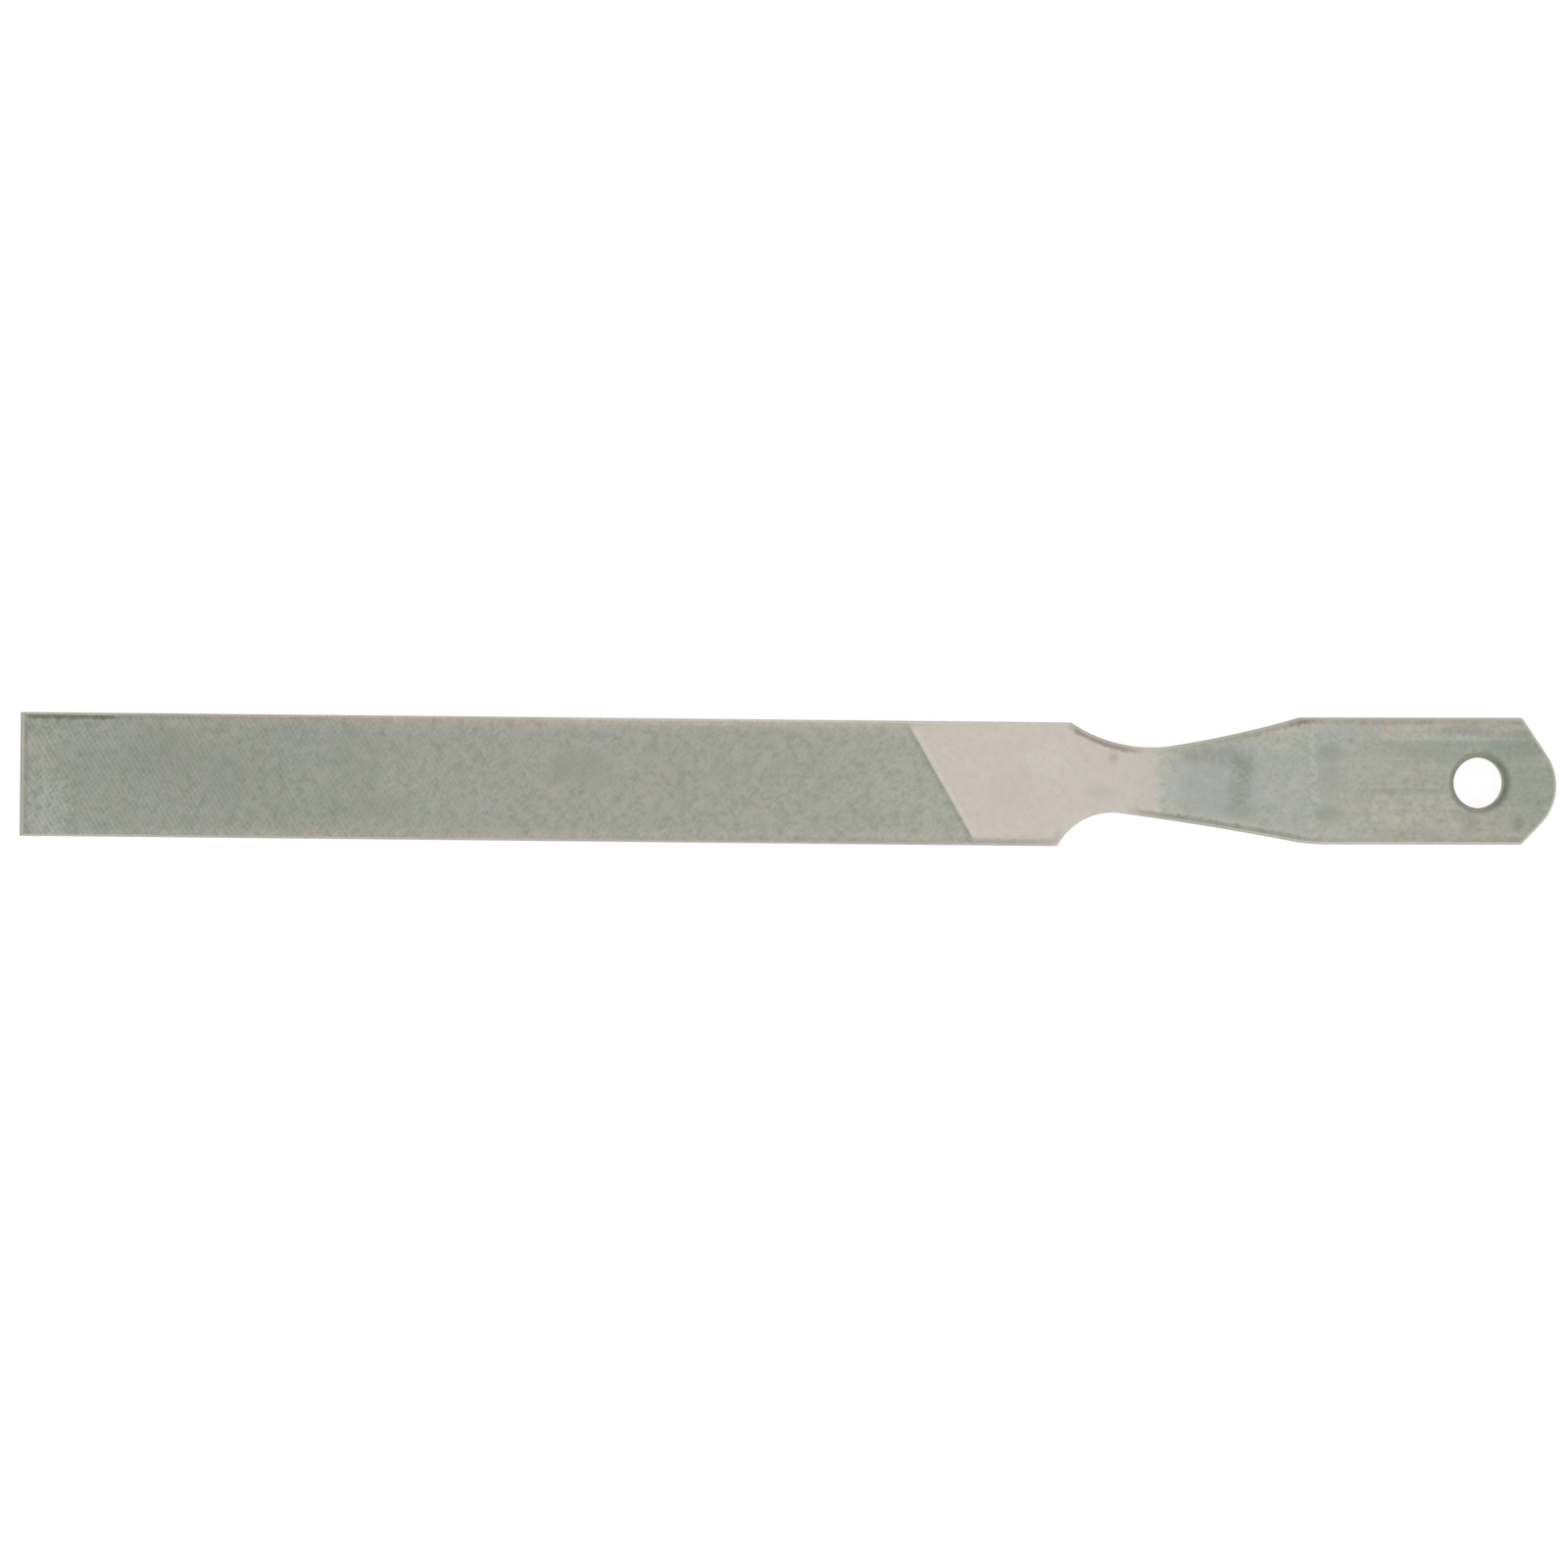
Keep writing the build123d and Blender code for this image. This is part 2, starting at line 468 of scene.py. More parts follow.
def fileSteel():
    bm = bmesh.new()
    drawOutline(bm)
    openHole(bm)
    thickenBar(bm)
    print("outline, hole and edges:", len(bm.faces), "faces")
    for side in (-1, 1):
        grindNeck(bm, side)
        cutTeeth(bm, side)
    print("ground neck and main cut:", len(bm.faces), "faces")
    crossTeeth(bm, 1)
    roughenTeeth(bm)
    forgeHandle(bm)
    print("crossing cut and forged waves:", len(bm.faces), "faces")
    bm.normal_update()
    for face in bm.faces:
        face.smooth = face.material_index != cutSlot
    for edge in bm.edges:
        edge.smooth = edge.calc_face_angle(0.0) < math.radians(bar["smoothBelow"])
    bmesh.ops.scale(bm, verts=bm.verts[:], vec=Vector((1, 1, 1)) / perMetre)
    mesh = bpy.data.meshes.new("fileSteel")
    bm.to_mesh(mesh)
    bm.free()
    piece = bpy.data.objects.new("file_steel", mesh)
    bpy.context.scene.collection.objects.link(piece)
    for material in (skinSteel(), cutSteel(), edgeSteel()):    # in the order of the slots
        mesh.materials.append(material)
    print("forged and ground skin, cut steel and edge steel are mixed")
    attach(piece, "root")
    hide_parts("garden_file")
    return piece


def tint(red, green, blue):
    # a colour picker's numbers, from 0 to 255, as the linear colour that a shader takes
    levels = []
    for level in (red, green, blue):
        level = level / 255
        levels.append(level / 12.92 if level <= 0.04045 else ((level + 0.055) / 1.055) ** 2.4)
    return (*levels, 1.0)


class Value:
    # a number socket of a finish; arithmetic on it adds Math nodes
    def __init__(self, finish, socket):
        self.finish = finish
        self.socket = socket

    def reckon(self, operation, first, second):
        return self.finish.node("ShaderNodeMath", {"operation": operation}, {0: first, 1: second})

    def __add__(self, other):
        return self.reckon("ADD", self, other)

    def __radd__(self, other):
        return self.reckon("ADD", other, self)

    def __sub__(self, other):
        return self.reckon("SUBTRACT", self, other)

    def __rsub__(self, other):
        return self.reckon("SUBTRACT", other, self)

    def __mul__(self, other):
        return self.reckon("MULTIPLY", self, other)

    def __rmul__(self, other):
        return self.reckon("MULTIPLY", other, self)

    def __truediv__(self, other):
        return self.reckon("DIVIDE", self, other)

    def __rtruediv__(self, other):
        return self.reckon("DIVIDE", other, self)

    def __pow__(self, other):
        return self.reckon("POWER", self, other)

    def __abs__(self):
        return self.reckon("ABSOLUTE", self, 0.0)


noiseTurn = (0.5, 0.3, 0.7)   # turns every noise, so that its grid doesn't show


class Finish:
    # the nodes of one material or world
    def __init__(self, holder):
        holder.use_nodes = True
        self.holder = holder
        self.tree = holder.node_tree
        self.tree.nodes.clear()

    def node(self, kind, settings=None, sockets=None, output=0):
        # a node from its type, then its settings, then its sockets
        made = self.tree.nodes.new(kind)
        for name, setting in (settings or {}).items():
            if name == "stops":
                stops = made.color_ramp.elements
                while len(stops) < len(setting):
                    stops.new(1.0)
                for stop, (position, color) in zip(stops, setting):
                    stop.position = position
                    stop.color = color
            else:
                setattr(made, name, setting)
        for name, value in (sockets or {}).items():
            if isinstance(value, Value):
                self.tree.links.new(value.socket, made.inputs[name])
            else:
                made.inputs[name].default_value = value
        return Value(self, made.outputs[output]) if len(made.outputs) else made

    def place(self):
        # the file's own coordinates, in mm
        own = self.node("ShaderNodeTexCoord", output="Object")
        return self.node("ShaderNodeVectorMath", {"operation": "SCALE"}, {0: own, "Scale": perMetre})

    def split(self, place):
        made = self.node("ShaderNodeSeparateXYZ", {}, {0: place})
        outputs = made.socket.node.outputs
        return [Value(self, output) for output in outputs]

    def stretch(self, place, x, y, z):
        return self.node("ShaderNodeVectorMath", {"operation": "MULTIPLY"}, {0: place, 1: (x, y, z)})

    def noise(self, place, scale, detail, roughness):
        # soft noise about 0, from about -1 to 1
        turned = self.node("ShaderNodeMapping", {}, {"Vector": place, "Rotation": noiseTurn})
        sockets = {"Vector": turned, "Scale": scale, "Detail": detail, "Roughness": roughness}
        return self.node("ShaderNodeTexNoise", {}, sockets) * 4.0 - 2.0

    def patterns(self, place, settings):
        return [self.noise(place, *setting) for setting in settings.values()]

    def fade(self, value, low, high):
        # 0 below low, 1 above high, with a soft passage between them
        sockets = {0: value, 1: low, 2: high}
        return self.node("ShaderNodeMapRange", {"interpolation_type": "SMOOTHSTEP"}, sockets)

    def step(self, value, limit):
        return self.node("ShaderNodeMath", {"operation": "GREATER_THAN"}, {0: value, 1: limit})

    def distance(self, x, y, center):
        # how far a point lies from an upright line through center
        return ((x - center.x) ** 2.0 + (y - center.y) ** 2.0) ** 0.5

    def least(self, first, second):
        return self.node("ShaderNodeMath", {"operation": "MINIMUM"}, {0: first, 1: second})

    def level(self, grey):
        # one number out of a grey colour
        return self.node("ShaderNodeSeparateColor", {}, {0: grey})

    def ramp(self, value, low, high, stops):
        # colours along a length, with each stop's place in the length's own units
        spots = [((place - low) / (high - low), color) for place, color in stops]
        return self.node("ShaderNodeValToRGB", {"stops": spots}, {0: (value - low) / (high - low)})

    def blend(self, mask, first, second):
        # a Mix node has its colours in sockets 6 and 7, and gives the mixed one in output 2
        settings = {"data_type": "RGBA", "clamp_factor": True}
        return self.node("ShaderNodeMix", settings, {0: mask, 6: first, 7: second}, output=2)

    def shade(self, color, factor):
        # the same colour, lighter or darker
        return self.node("ShaderNodeVectorMath", {"operation": "SCALE"}, {0: color, "Scale": factor})

    def tinge(self, color, amount, drift):
        # shifts the hue: drift is how much red, green and blue grow for an amount of 1
        shift = self.node("ShaderNodeVectorMath", {"operation": "SCALE"}, {0: drift, "Scale": amount})
        sockets = {0: color, 1: shift, 2: color}
        return self.node("ShaderNodeVectorMath", {"operation": "MULTIPLY_ADD"}, sockets)

    def bump(self, height, distance):
        return self.node("ShaderNodeBump", {}, {"Height": height, "Distance": distance})

    def done(self, color, metallic, roughness, normal):
        sockets = {"Base Color": color, "Metallic": metallic, "Roughness": roughness, "Normal": normal}
        shader = self.node("ShaderNodeBsdfPrincipled", {}, sockets)
        self.node("ShaderNodeOutputMaterial", {}, {"Surface": shader})
        return self.holder


# Lines along the bar's edges, partly scale and partly painted shade at the edges. Stops are X in mm,
# the line's colour, how strongly it shows on the broad face, and how far the broken edge beside it is
# rubbed bright and given a painted highlight. On the broad face the line is full up to one depth and
# gone by the next, and a warm, paler band goes on inside.
edgeLines = {
    "upper": [
        (-124.0, tint(123, 121, 108), 1.0, 0.7),
        (-109.4, tint(123, 121, 108), 1.0, 0.7),
        (-108.6, tint(145, 146, 136), 0.9, 0.5),
        (-98.0, tint(149, 148, 138), 0.9, 0.4),
        (-90.0, tint(159, 154, 142), 0.9, 0.45),
        (-74.0, tint(161, 155, 143), 0.9, 0.45),
        (-66.0, tint(168, 157, 145), 0.9, 0.5),
        (-40.0, tint(170, 160, 147), 0.9, 0.5),
        (-34.0, tint(176, 172, 159), 0.6, 0.65),
        (20.0, tint(176, 173, 161), 0.6, 0.7),
        (24.0, tint(196, 190, 179), 0.3, 0.7),
        (44.8, tint(196, 190, 179), 0.3, 0.7),
        (46.2, tint(158, 148, 138), 1.0, 0.6),
        (54.5, tint(158, 148, 138), 1.0, 0.6),
        (58.0, tint(188, 182, 171), 0.7, 0.6),
        (63.0, tint(177, 176, 167), 0.8, 0.55),
        (70.0, tint(167, 166, 156), 0.9, 0.55),
        (80.0, tint(164, 162, 151), 0.9, 0.5),
        (82.0, tint(149, 143, 131), 1.0, 0.5),
        (84.0, tint(154, 147, 135), 1.0, 0.5),
        (85.6, tint(163, 157, 145), 0.5, 0.55),
        (117.0, tint(165, 160, 148), 0.5, 0.6),
        (119.0, tint(162, 166, 154), 0.2, 0.6),
    ],
    "lower": [
        (-124.0, tint(162, 164, 154), 0.6, 0.7),
        (-105.0, tint(159, 160, 149), 0.6, 0.7),
        (-96.0, tint(163, 161, 149), 0.8, 0.6),
        (-38.0, tint(163, 160, 149), 0.8, 0.6),
        (-30.0, tint(157, 156, 145), 0.8, 0.6),
        (16.0, tint(155, 154, 143), 0.8, 0.55),
        (23.0, tint(164, 159, 149), 0.9, 0.6),
        (42.0, tint(164, 159, 149), 0.9, 0.6),
        (44.5, tint(199, 194, 183), 0.3, 0.8),
        (54.0, tint(196, 190, 180), 0.4, 0.75),
        (57.0, tint(164, 161, 152), 0.9, 0.55),
        (62.0, tint(153, 154, 147), 1.0, 0.45),
        (82.0, tint(159, 160, 151), 1.0, 0.5),
        (88.0, tint(166, 167, 156), 0.6, 0.7),
        (106.0, tint(164, 165, 154), 0.5, 0.6),
        (120.0, tint(157, 159, 147), 0.5, 0.6),
    ],
    "full": 0.8,
    "gone": 1.35,
    "paleEnd": 2.8,
    "pale": (0.08, 0.04, 0.01),
    "ragged": 0.2,            # how far the lines stray, in mm
    "handleFrom": 60.0,       # X from which the handle's straight edges count
    "middleWidth": 0.5,       # half of the passage from the lower line's side to the upper line's
    # paler colour of the broken edges: rubbed bright, with a painted highlight
    "wornAndLit": tint(206, 203, 194),
    "tip": tint(190, 187, 176),
    "tipEnd": (0.8, 1.2),     # in mm from the tip
    # a dark line just inside the tip, painted shade
    "tipShade": tint(150, 148, 137),
    "tipShadeEnd": (1.05, 1.55),
    "tipShadeCover": 0.9,
    # the hole's chamfer: painted light on its left, painted shade on its right
    "litRimLeft": tint(182, 178, 166),
    "shadedRimRight": tint(146, 152, 140),
    "rimEnd": (5.0, 5.2),     # in mm from the hole's centre
    # painted shade round the hole on the broad face, wider on its right
    "holeShade": tint(130, 132, 121),
    "holeShadeWidth": 0.4,         # twice as wide on the hole's right
    "holeShadeCover": 0.7,
    "rightOfHole": (0.0, 4.0),
    "side": tint(128, 123, 111),
    "sideStart": (0.3, 0.8),  # in mm below the broad face
    "sideCover": 0.8,
    "rimSideLess": 0.4,
    "patterns": {             # noise scale, detail and roughness
        "mottle": (0.4, 3.0, 0.6),
        "grain": (1.5, 2.0, 0.6),
    },
    "mottle": 0.06,
    "grain": 0.04,
    "rough": 0.52,
    "roughGrain": 0.03,
    "bump": 0.00002,
}


def alongEdges(finish, x, y):
    # colour and strength of the lines at the nearer long edge, how far its broken edge is rubbed bright
    # and painted lighter, and the depth inside it
    slope = math.tan(math.radians(bar["handleTilt"]))
    axis = bar["bladeAxisY"]
    upperSide = finish.fade(y, axis - edgeLines["middleWidth"], axis + edgeLines["middleWidth"])
    handle = finish.step(x, edgeLines["handleFrom"])
    looks = []
    depths = []
    for side, name in ((1, "upper"), (-1, "lower")):
        neck = neckSide(name, side)
        bladeEdge = axis + side * bar["bladeWidth"] / 2
        flareEnd = spot(bar["upperFlareEnd"], heightAbove(bar["upperFlareEnd"], side))
        handleEdge = flareEnd.y + (x - flareEnd.x) * slope
        line = bladeEdge * (1.0 - handle) + handleEdge * handle
        notch = finish.distance(x, y, neck["center"]) - neck["radius"]
        flareRadius = (neck["flareStart"] - neck["flareCenter"]).length
        flare = finish.distance(x, y, neck["flareCenter"]) - flareRadius
        beforeFlare = 1.0 - finish.step(x, neck["flareStart"].x)
        curves = finish.least(notch, flare + beforeFlare * bar["bladeWidth"])
        depths.append(finish.least((line - y) * side, curves))
        columns = zip(*edgeLines[name])
        places = next(columns)
        colors = next(columns)
        greys = [[(share, share, share, 1.0) for share in shares] for shares in columns]
        looks.append([finish.ramp(x, tipX, noseX, zip(places, column)) for column in (colors, *greys)])
    color, strength, wearAndLight = [finish.blend(upperSide, lower, upper) for upper, lower in zip(*looks)]
    inside = depths[1] * (1.0 - upperSide) + depths[0] * upperSide
    return color, finish.level(strength), finish.level(wearAndLight), inside


def lineAlongEdges(finish, color, x, y, grain, paleness):
    # draws those lines on a broad face; gives the colour and the depth inside the outline
    look = edgeLines
    line, strength, _, inside = alongEdges(finish, x, y)
    inside = inside + grain * look["ragged"]
    band = 1.0 - finish.fade(inside, look["gone"], look["paleEnd"])
    color = finish.tinge(color, band * paleness, look["pale"])
    mask = (1.0 - finish.fade(inside, look["full"], look["gone"])) * strength
    return finish.blend(mask, color, line), inside


def pastHeel(finish, x, y, face):
    # how far a point lies past the heel line, on the broad face (1 upper, -1 lower) that it is on
    heel, normal = heelLine(1)
    return (x - heel.x) * normal.x + (y - heel.y) * face * normal.y


stainEnd = 1.5                # a stain is gone at this many of its half sizes


def stain(finish, color, x, y, rough, spots):
    # soft, uneven spots: X, Y, half length, half width, colour, strength
    for left, up, length, width, tone, strength in spots:
        reach = (((x - left) / length) ** 2.0 + ((y - up) / width) ** 2.0) ** 0.5
        cover = (1.0 - finish.fade(reach, 0.0, stainEnd)) * (1.0 + rough)
        color = finish.blend(finish.fade(cover, 0.0, 1.0) * strength, color, tone)
    return color


# The forged and ground skin of the bar; places are X in mm
bluish = tint(140, 151, 143)
dusky = tint(128, 134, 128)
pale = tint(186, 187, 179)
sandy = tint(180, 177, 163)
pinkish = tint(192, 177, 165)
brownish = tint(140, 134, 120)

skinLook = {
    "patterns": {             # noise scale, detail and roughness
        "wander": (0.12, 3.0, 0.5),
        "patches": (0.3, 3.0, 0.6),
        "mottle": (0.7, 3.0, 0.65),
        "grain": (1.4, 3.0, 0.7),
    },
    "streaks": (0.9, 4.0, 0.7),
    "streakStretch": (0.06, 1.0, 1.0),
    "stray": 0.3,             # how far the borders between colours stray, in mm
    "forged": (58.8, 60.6),   # X over which ground steel gives way to forged skin
    "held": (86.0, 98.0),     # X over which the streaks set in
    "stopsFrom": 40.0,
    "stops": [
        (46.0, tint(200, 193, 182)),
        (56.0, tint(197, 191, 180)),
        (58.2, tint(195, 190, 179)),
        (59.5, tint(190, 188, 181)),
        (60.5, tint(182, 183, 175)),
        (61.4, tint(180, 182, 175)),
        (64.5, tint(175, 177, 171)),
        (73.0, tint(174, 176, 169)),
        (81.0, tint(173, 175, 168)),
        (92.0, tint(171, 173, 164)),
        (100.0, tint(172, 172, 160)),
        (112.0, tint(167, 168, 156)),
        (122.0, tint(159, 162, 150)),
    ],
    # a painted highlight on the ground steel just past the heel line
    "heel": tint(212, 207, 197),
    "heelHighlight": (0.25, 0.5, 1.0),    # rises, is full and is gone, in mm past the heel line
    "heelCover": 0.35,
    "heelStray": 0.1,
    "footShade": tint(178, 173, 162),      # painted shade along the lower edge of the ground shoulder
    "footDepth": (0.9, 2.0),
    "footEnd": 44.0,
    "footCover": 0.5,
    "speck": tint(178, 166, 156),
    "forgedSpeck": tint(146, 149, 143),
    "speckRange": (0.0, 1.2),
    "speckCover": 0.6,
    "violet": (0.025, -0.02, 0.025),  # how far patches shift the hue
    "violetGround": 0.4,
    "violetForged": 0.8,
    "warm": (0.02, 0.0, -0.04),
    "warmMottle": 0.4,
    "unevenGrain": (0.07, 0.05),      # on ground steel, and how much more on forged skin
    "unevenMottle": (0.04, 0.06),
    "unevenPatches": (0.0, 0.03),
    "unevenStreaks": 0.1,
    "rough": 0.42,
    "roughForged": 0.1,
    "roughGrain": 0.02,
    "bump": 0.00001,
    "bumpForged": 0.00002,
    "bumpMottle": 0.5,
    "blotchMottle": 1.3,              # what breaks up the forged stains
    "blotchGrain": 0.8,
    "smearStreaks": 0.9,              # what breaks up the held ones
    "smearMottle": 0.5,
    "groundStains": [
        (38.5, 0.6, 1.2, 0.9, tint(188, 174, 164), 0.4),
        (52.4, 3.6, 0.9, 1.3, tint(172, 164, 153), 0.7),
        (50.5, -1.8, 2.4, 1.4, tint(182, 175, 164), 0.5),
        (36.0, -3.0, 5.0, 4.0, tint(192, 184, 173), 0.4),
        (42.0, 3.0, 4.0, 3.0, tint(205, 199, 188), 0.4),
    ],
    "forgedStains": [
        (66.0, 4.4, 3.0, 1.8, dusky, 0.45),
        (70.6, 4.2, 3.4, 2.0, dusky, 0.38),
        (73.6, 2.4, 2.2, 2.6, dusky, 0.55),
        (73.0, -1.0, 2.2, 2.6, dusky, 0.45),
        (73.2, -4.4, 2.8, 1.8, dusky, 0.38),
        (69.5, -0.5, 7.0, 7.5, bluish, 0.2),
        (80.0, 7.4, 4.6, 2.2, sandy, 0.6),
        (84.7, 0.0, 0.8, 9.0, pale, 0.4),
        (87.2, 4.6, 2.4, 1.6, dusky, 0.4),
        (87.4, 0.6, 2.4, 3.0, dusky, 0.2),
        (87.4, -5.0, 3.0, 1.6, dusky, 0.4),
    ],
    "heldStains": [
        (96.4, 8.4, 1.2, 0.8, pinkish, 0.6),
        (99.2, -4.8, 0.5, 1.6, brownish, 0.5),
        (101.0, -4.2, 14.0, 4.6, sandy, 0.5),
        (102.0, -8.6, 9.0, 1.4, dusky, 0.25),
        (99.0, -1.3, 9.0, 0.7, dusky, 0.3),
        (109.0, 7.4, 13.0, 0.7, pale, 0.6),
        (109.0, 8.5, 5.0, 0.8, dusky, 0.3),
        (115.6, 8.9, 3.6, 0.8, sandy, 0.45),
        (109.5, 5.4, 13.0, 2.3, bluish, 0.5),
        (117.5, 6.3, 4.5, 2.6, bluish, 0.5),
        (96.0, 5.6, 5.5, 2.2, bluish, 0.15),
        (119.8, -0.3, 3.2, 4.0, bluish, 0.28),
        (118.0, -6.3, 1.0, 1.4, brownish, 0.5),
        (110.0, -6.4, 1.8, 2.2, brownish, 0.35),
    ],
}


def skinSteel():
    finish = Finish(bpy.data.materials.new("skinSteel"))
    look = skinLook
    place = finish.place()
    x, y, z = finish.split(place)
    face = finish.step(z, middleZ) * 2.0 - 1.0
    wander, patches, mottle, grain = finish.patterns(place, look["patterns"])
    streaks = finish.noise(finish.stretch(place, *look["streakStretch"]), *look["streaks"])
    border = x + wander * look["stray"]
    forged = finish.fade(border, *look["forged"])
    held = finish.fade(x, *look["held"])
    color = finish.ramp(border, look["stopsFrom"], noseX, look["stops"])
    violet = patches * (look["violetGround"] + forged * look["violetForged"])
    color = finish.tinge(color, violet, look["violet"])
    color = finish.tinge(color, (wander + mottle * look["warmMottle"]) * forged, look["warm"])

    specks = finish.fade(grain, *look["speckRange"]) * look["speckCover"]
    color = finish.blend(specks, color, finish.blend(forged, look["speck"], look["forgedSpeck"]))
    color = stain(finish, color, x, y * face, grain, look["groundStains"])
    blotches = mottle * look["blotchMottle"] + grain * look["blotchGrain"]
    color = stain(finish, color, x, y * face, blotches, look["forgedStains"])
    smears = streaks * look["smearStreaks"] + mottle * look["smearMottle"]
    color = stain(finish, color, x, y * face, smears, look["heldStains"])

    # painted highlight along the heel line's plain side
    beyondHeel = pastHeel(finish, x, y, face) + grain * look["heelStray"]
    rises, full, gone = look["heelHighlight"]
    heelHighlight = finish.fade(beyondHeel, rises, full) - finish.fade(beyondHeel, full, gone)
    color = finish.blend(heelHighlight * look["heelCover"], color, look["heel"])
    # scale and painted shade along the edges
    color, inside = lineAlongEdges(finish, color, x, y, grain, forged)
    # painted shade along the ground shoulder's lower edge
    footShade = 1.0 - finish.fade(inside, *look["footDepth"])
    footShade = footShade * (1.0 - finish.step(x, look["footEnd"])) * (1.0 - finish.step(y, 0.0))
    color = finish.blend(footShade * look["footCover"], color, look["footShade"])

    # painted shade round the hole, twice as wide on its right
    hole = holeCenter()
    beyond = finish.distance(x, y, hole) - bar["holeRadius"] - bar["holeRim"]
    right = finish.fade(x - hole.x, *edgeLines["rightOfHole"])
    width = edgeLines["holeShadeWidth"] + right * edgeLines["holeShadeWidth"]
    holeShade = 1.0 - finish.fade(beyond, 0.0, width)
    color = finish.blend(holeShade * edgeLines["holeShadeCover"], color, edgeLines["holeShade"])

    lightness = 1.0 + streaks * held * look["unevenStreaks"]
    for pattern, name in ((grain, "unevenGrain"), (mottle, "unevenMottle"), (patches, "unevenPatches")):
        ground, more = look[name]
        lightness = lightness + pattern * (ground + forged * more)
    color = finish.shade(color, lightness)
    roughness = look["rough"] + forged * look["roughForged"] + grain * look["roughGrain"]
    height = patches + mottle * look["bumpMottle"]
    normal = finish.bump(height, look["bump"] + forged * look["bumpForged"])
    return finish.done(color, 1.0, roughness, normal)


# The cut faces; lift makes up for what the teeth keep from the light
cutLook = {
    "patterns": {             # noise scale, detail and roughness
        "broad": (0.12, 3.0, 0.5),
        "patches": (0.35, 3.0, 0.65),
        "mottle": (0.7, 3.0, 0.65),
        "grain": (1.4, 3.0, 0.7),
    },
    "stopsEnd": 25.0,
    # colour along the length; its rise and fall is partly painted light falling along the file
    "stops": [
        (-124.0, tint(157, 160, 151)),
        (-112.0, tint(154, 157, 149)),
        (-80.0, tint(152, 155, 146)),
        (-60.0, tint(157, 159, 149)),
        (-30.0, tint(159, 160, 151)),
        (0.0, tint(159, 160, 150)),
        (25.0, tint(162, 164, 154)),
    ],
    "lift": 1.205,
    "violet": (0.025, -0.02, 0.025),
    "warm": (0.02, 0.0, -0.035),
    "warmMottle": 0.2,
    "speck": tint(128, 127, 119),
    "blotchGrain": 0.8,
    "speckGrain": 0.5,
    "speckRange": (0.4, 1.4),
    "speckCover": 0.35,
    "gulletShade": tint(118, 120, 109),      # painted shade, darkest down in the gullets
    "gulletShadeCover": 0.1,
    "crest": 0.02,                    # a crest has no painted shade down to this depth
    # painted shade in the last teeth before the heel line
    "heel": tint(118, 121, 111),
    "heelShade": (-1.0, -0.5),
    "heelCover": 0.2,
    "heelStray": 0.1,
    "paleBand": (-112.0, -96.0),      # X over which the warm band along the edges sets in
    "tipStray": 0.08,
    "grain": 0.08,
    "mottle": 0.1,
    "patches": 0.05,
    "rough": 0.58,
    "roughGrain": 0.03,
    "bump": 0.00001,
    "stains": [
        (-119.5, -6.0, 4.0, 6.0, tint(170, 175, 166), 0.4),
        (-121.0, 4.0, 3.0, 6.0, tint(166, 167, 156), 0.4),
        (-112.0, 1.0, 4.0, 5.0, tint(140, 150, 145), 0.4),
        (-101.0, 2.0, 7.0, 5.0, tint(138, 140, 135), 0.4),
        (-90.0, -1.0, 5.0, 5.0, tint(140, 143, 136), 0.35),
        (-70.0, 2.0, 5.0, 6.0, tint(142, 148, 138), 0.35),
        (-66.0, -5.5, 5.0, 2.5, tint(146, 146, 133), 0.4),
        (-34.0, 1.2, 5.5, 3.0, tint(142, 145, 138), 0.5),
        (-17.2, -1.5, 0.9, 6.0, tint(138, 142, 136), 0.35),
    ],
}


def cutSteel():
    finish = Finish(bpy.data.materials.new("cutSteel"))
    look = cutLook
    place = finish.place()
    x, y, z = finish.split(place)
    face = finish.step(z, middleZ) * 2.0 - 1.0
    broad, patches, mottle, grain = finish.patterns(place, look["patterns"])
    color = finish.ramp(x, tipX, look["stopsEnd"], look["stops"])
    blotches = mottle + grain * look["blotchGrain"]
    color = stain(finish, color, x, y * face, blotches, look["stains"])
    color = finish.tinge(color, patches, look["violet"])
    color = finish.tinge(color, broad + mottle * look["warmMottle"], look["warm"])

    specks = finish.fade(mottle + grain * look["speckGrain"], *look["speckRange"])
    color = finish.blend(specks * look["speckCover"], color, look["speck"])
    # painted shade deepening towards the gullets
    height = abs(z - middleZ)
    deep = 1.0 - finish.fade(height, middleZ - teeth["depth"], middleZ - look["crest"])
    color = finish.blend(deep * look["gulletShadeCover"], color, look["gulletShade"])
    # painted shade before the heel line
    heelShade = finish.fade(pastHeel(finish, x, y, face) + grain * look["heelStray"], *look["heelShade"])
    color = finish.blend(heelShade * look["heelCover"], color, look["heel"])

    color, _ = lineAlongEdges(finish, color, x, y, grain, finish.fade(x, *look["paleBand"]))
    # painted shade along the tip
    fromTip = x + grain * look["tipStray"] - tipX
    tipShade = 1.0 - finish.fade(fromTip, *edgeLines["tipShadeEnd"])
    color = finish.blend(tipShade * edgeLines["tipShadeCover"], color, edgeLines["tipShade"])
    lightness = 1.0 + grain * look["grain"] + mottle * look["mottle"] + patches * look["patches"]
    color = finish.shade(color, lightness * look["lift"])
    roughness = look["rough"] + grain * look["roughGrain"]
    normal = finish.bump(mottle, look["bump"])
    return finish.done(color, 1.0, roughness, normal)


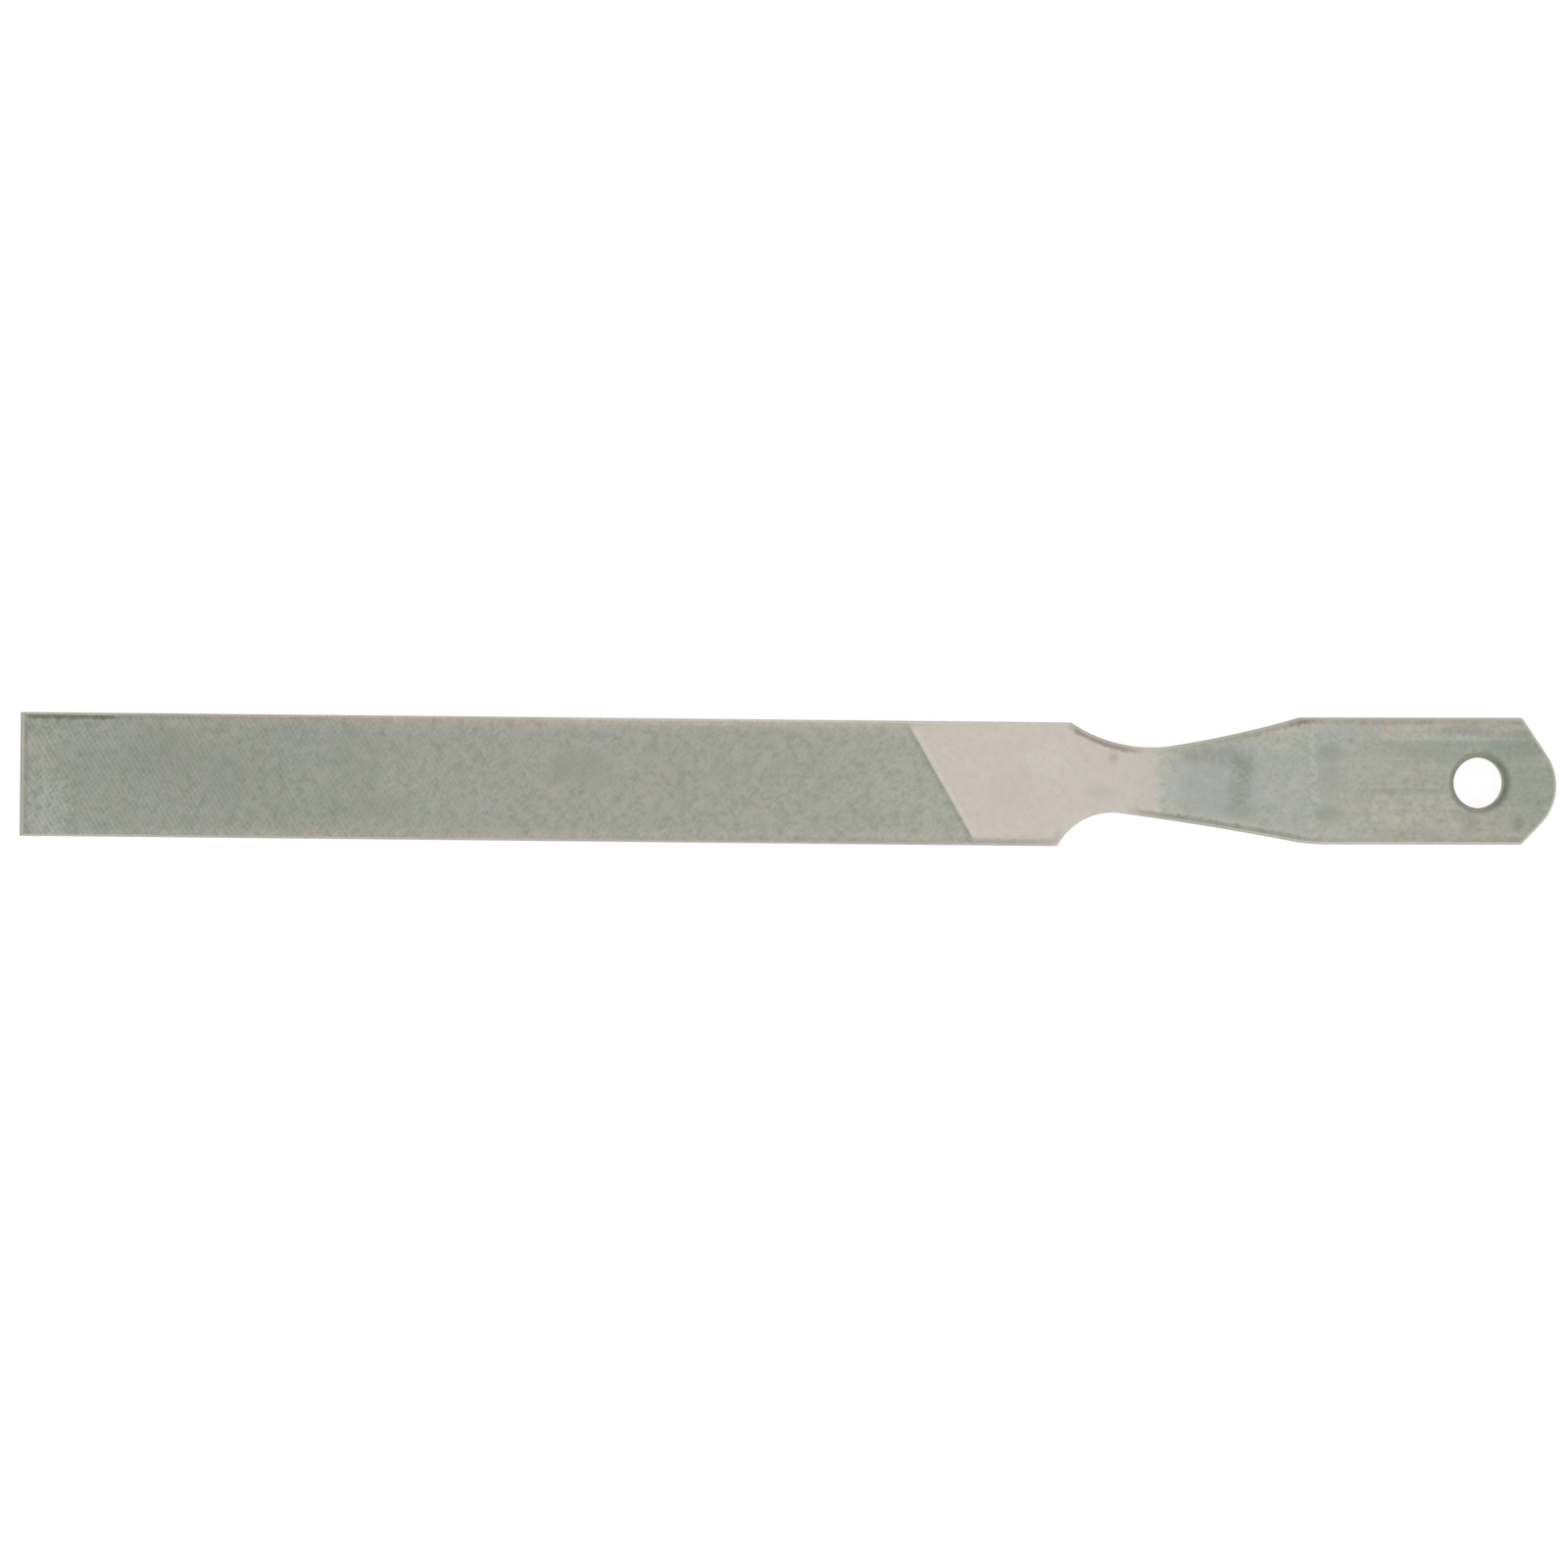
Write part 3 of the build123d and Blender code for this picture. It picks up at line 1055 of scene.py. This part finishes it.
def edgeSteel():
    finish = Finish(bpy.data.materials.new("edgeSteel"))
    look = edgeLines
    place = finish.place()
    x, y, z = finish.split(place)
    mottle, grain = finish.patterns(place, look["patterns"])
    color, _, wearAndLight, _ = alongEdges(finish, x, y)
    # the broken edges rubbed bright and given a painted highlight
    color = finish.blend(wearAndLight, color, look["wornAndLit"])
    atTip = 1.0 - finish.fade(x, *[tipX + end for end in look["tipEnd"]])
    color = finish.blend(atTip, color, look["tip"])

    # the hole's chamfer painted lighter on the left and shaded on the right
    hole = holeCenter()
    right = finish.fade(x - hole.x, *look["rightOfHole"])
    onRim = 1.0 - finish.fade(finish.distance(x, y, hole), *look["rimEnd"])
    color = finish.blend(onRim, color, finish.blend(right, look["litRimLeft"], look["shadedRimRight"]))
    below = finish.fade(middleZ - abs(z - middleZ), *look["sideStart"])
    color = finish.blend(below * (look["sideCover"] - onRim * look["rimSideLess"]), color, look["side"])
    color = finish.shade(color, 1.0 + grain * look["grain"] + mottle * look["mottle"])
    roughness = look["rough"] + grain * look["roughGrain"]
    normal = finish.bump(grain, look["bump"])
    return finish.done(color, 1.0, roughness, normal)


# The photograph is taken from straight above; places in mm, turns in degrees
shot = {
    "x": -0.66,
    "y": -1.14,
    "height": 708.0,
    "turn": 0.575,
    "lens": 100.76,
    "clipStart": 0.01,
}


def aimCamera():
    camera = bpy.data.cameras.new("camera")
    camera.lens = shot["lens"]
    camera.clip_start = shot["clipStart"]
    holder = bpy.data.objects.new("camera", camera)
    place = Vector((shot["x"], shot["y"], topZ + shot["height"])) / perMetre
    holder.matrix_world = Matrix.Translation(place) @ Matrix.Rotation(math.radians(shot["turn"]), 4, "Z")
    bpy.context.scene.collection.objects.link(holder)
    bpy.context.scene.camera = holder


# A plain white table; what it takes from the lamps is where the shadow shows
table = {
    "half": 3.0,
    "shadow": 0.16,
    "glow": 0.9,
    "lift": -0.0002,
}

white = (1.0, 1.0, 1.0, 1.0)

# World and lamp: sizes and places in metres
light = {
    "zenith": 0.9,
    "horizon": 0.78,
    "key": 1.6,
    "keySize": 0.8,
    "keyPlace": (0.25, -0.55, 1.1),
}


def layTable():
    bm = bmesh.new()
    bmesh.ops.create_grid(bm, x_segments=1, y_segments=1, size=table["half"])
    bmesh.ops.translate(bm, verts=bm.verts[:], vec=(0, 0, table["lift"]))
    mesh = bpy.data.meshes.new("table")
    bm.to_mesh(mesh)
    bm.free()
    piece = bpy.data.objects.new("table", mesh)
    bpy.context.scene.collection.objects.link(piece)
    finish = Finish(bpy.data.materials.new("tableWhite"))
    paths = finish.node("ShaderNodeLightPath").socket.node.outputs
    seen = Value(finish, paths["Is Camera Ray"])
    seen = seen + Value(finish, paths["Is Glossy Ray"]) + Value(finish, paths["Is Transmission Ray"])
    share = table["shadow"]
    matt = finish.node("ShaderNodeBsdfDiffuse", {}, {"Color": (share, share, share, 1.0)})
    glow = finish.node("ShaderNodeEmission", {}, {"Color": white, "Strength": seen * table["glow"]})
    both = finish.node("ShaderNodeAddShader", {}, {0: matt, 1: glow})
    finish.node("ShaderNodeOutputMaterial", {}, {"Surface": both})
    mesh.materials.append(finish.holder)


def lightRoom():
    finish = Finish(bpy.data.worlds.new("room"))
    bpy.context.scene.world = finish.holder
    paths = finish.node("ShaderNodeLightPath").socket.node.outputs
    seen = Value(finish, paths["Is Camera Ray"])
    way = finish.node("ShaderNodeTexCoord", output="Generated")
    _, _, height = finish.split(way)
    sky = light["horizon"] + finish.fade(height, 0.0, 1.0) * (light["zenith"] - light["horizon"])
    strength = sky * (1.0 - seen) + seen
    glow = finish.node("ShaderNodeBackground", {}, {"Color": white, "Strength": strength})
    finish.node("ShaderNodeOutputWorld", {}, {"Surface": glow})

    lamp = bpy.data.lights.new("key", "AREA")
    lamp.energy = light["key"]
    lamp.size = light["keySize"]
    holder = bpy.data.objects.new("key", lamp)
    place = Vector(light["keyPlace"])
    turn = (-place).to_track_quat("-Z", "Y").to_matrix().to_4x4()
    holder.matrix_world = Matrix.Translation(place) @ turn
    bpy.context.scene.collection.objects.link(holder)


fileSteel()
aimCamera()
layTable()
lightRoom()
bpy.context.scene.view_settings.view_transform = "Standard"
print("camera, table and light are set")
